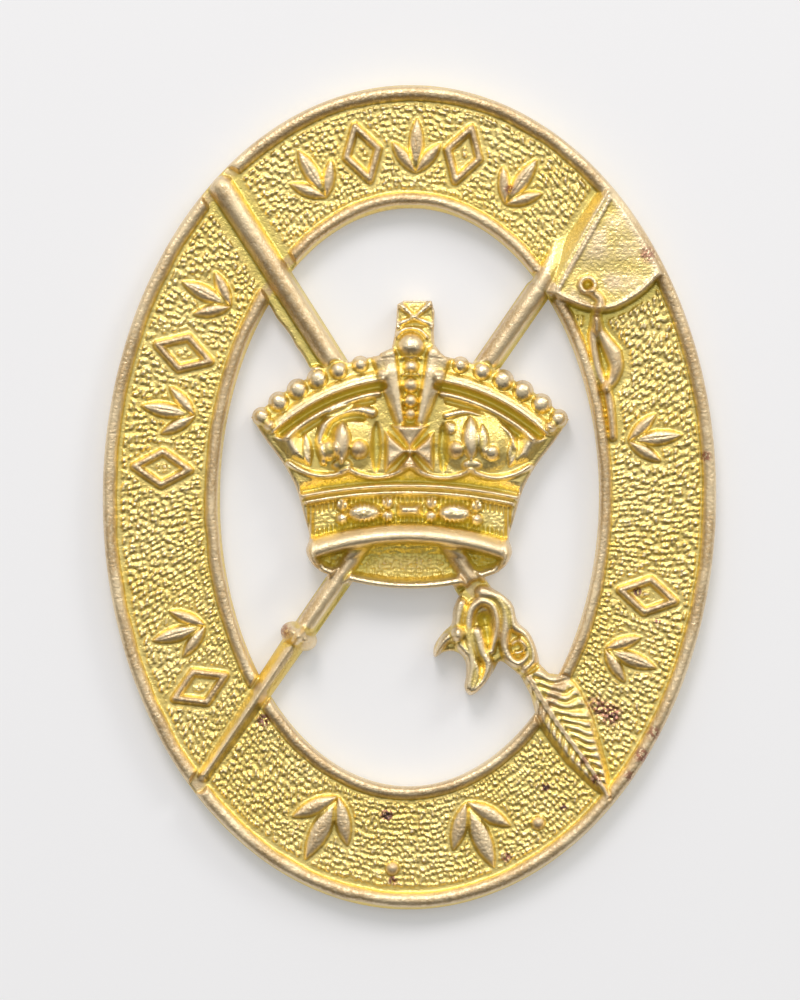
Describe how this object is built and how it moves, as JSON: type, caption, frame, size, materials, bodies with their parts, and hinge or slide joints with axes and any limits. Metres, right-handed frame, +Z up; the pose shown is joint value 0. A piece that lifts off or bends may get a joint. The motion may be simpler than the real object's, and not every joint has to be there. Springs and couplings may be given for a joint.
{
  "type": "cap badge",
  "caption": "Upright oval pierced cap badge in gilt brass, two staffs crossed behind a domed crown, with wire lugs and split pins on the back.",
  "frame": {"origin": "centre of the oval, on the plane of the back that rests on the cap", "axes": "+Z up towards the crown's finial, +Y out of the back into the cap, +X to the right of someone facing the badge; the face looks along -Y"},
  "size_m": [0.0357, 0.0085, 0.048],
  "materials": {
    "gilt_brass": "satin gilt, worn on the high spots",
    "copper_wire": "dull drawn copper wire",
    "braze": "rough cast solder",
    "pin_brass": "satin drawn brass"
  },
  "bodies": {
    "badge": {"struck_badge": "gilt_brass", "lug_left": "copper_wire", "lug_right": "copper_wire", "braze_left": "braze", "braze_right": "braze"},
    "left_pin": {"pin_left": "pin_brass"},
    "right_pin": {"pin_right": "pin_brass"}
  },
  "joints": [
    {"name": "left_pin_pull", "type": "slide", "parent": "badge", "child": "left_pin", "axis": [0, 0, 1], "range_m": [0, 0.0097]},
    {"name": "right_pin_pull", "type": "slide", "parent": "badge", "child": "right_pin", "axis": [0, 0, 1], "range_m": [0, 0.0097]}
  ]
}
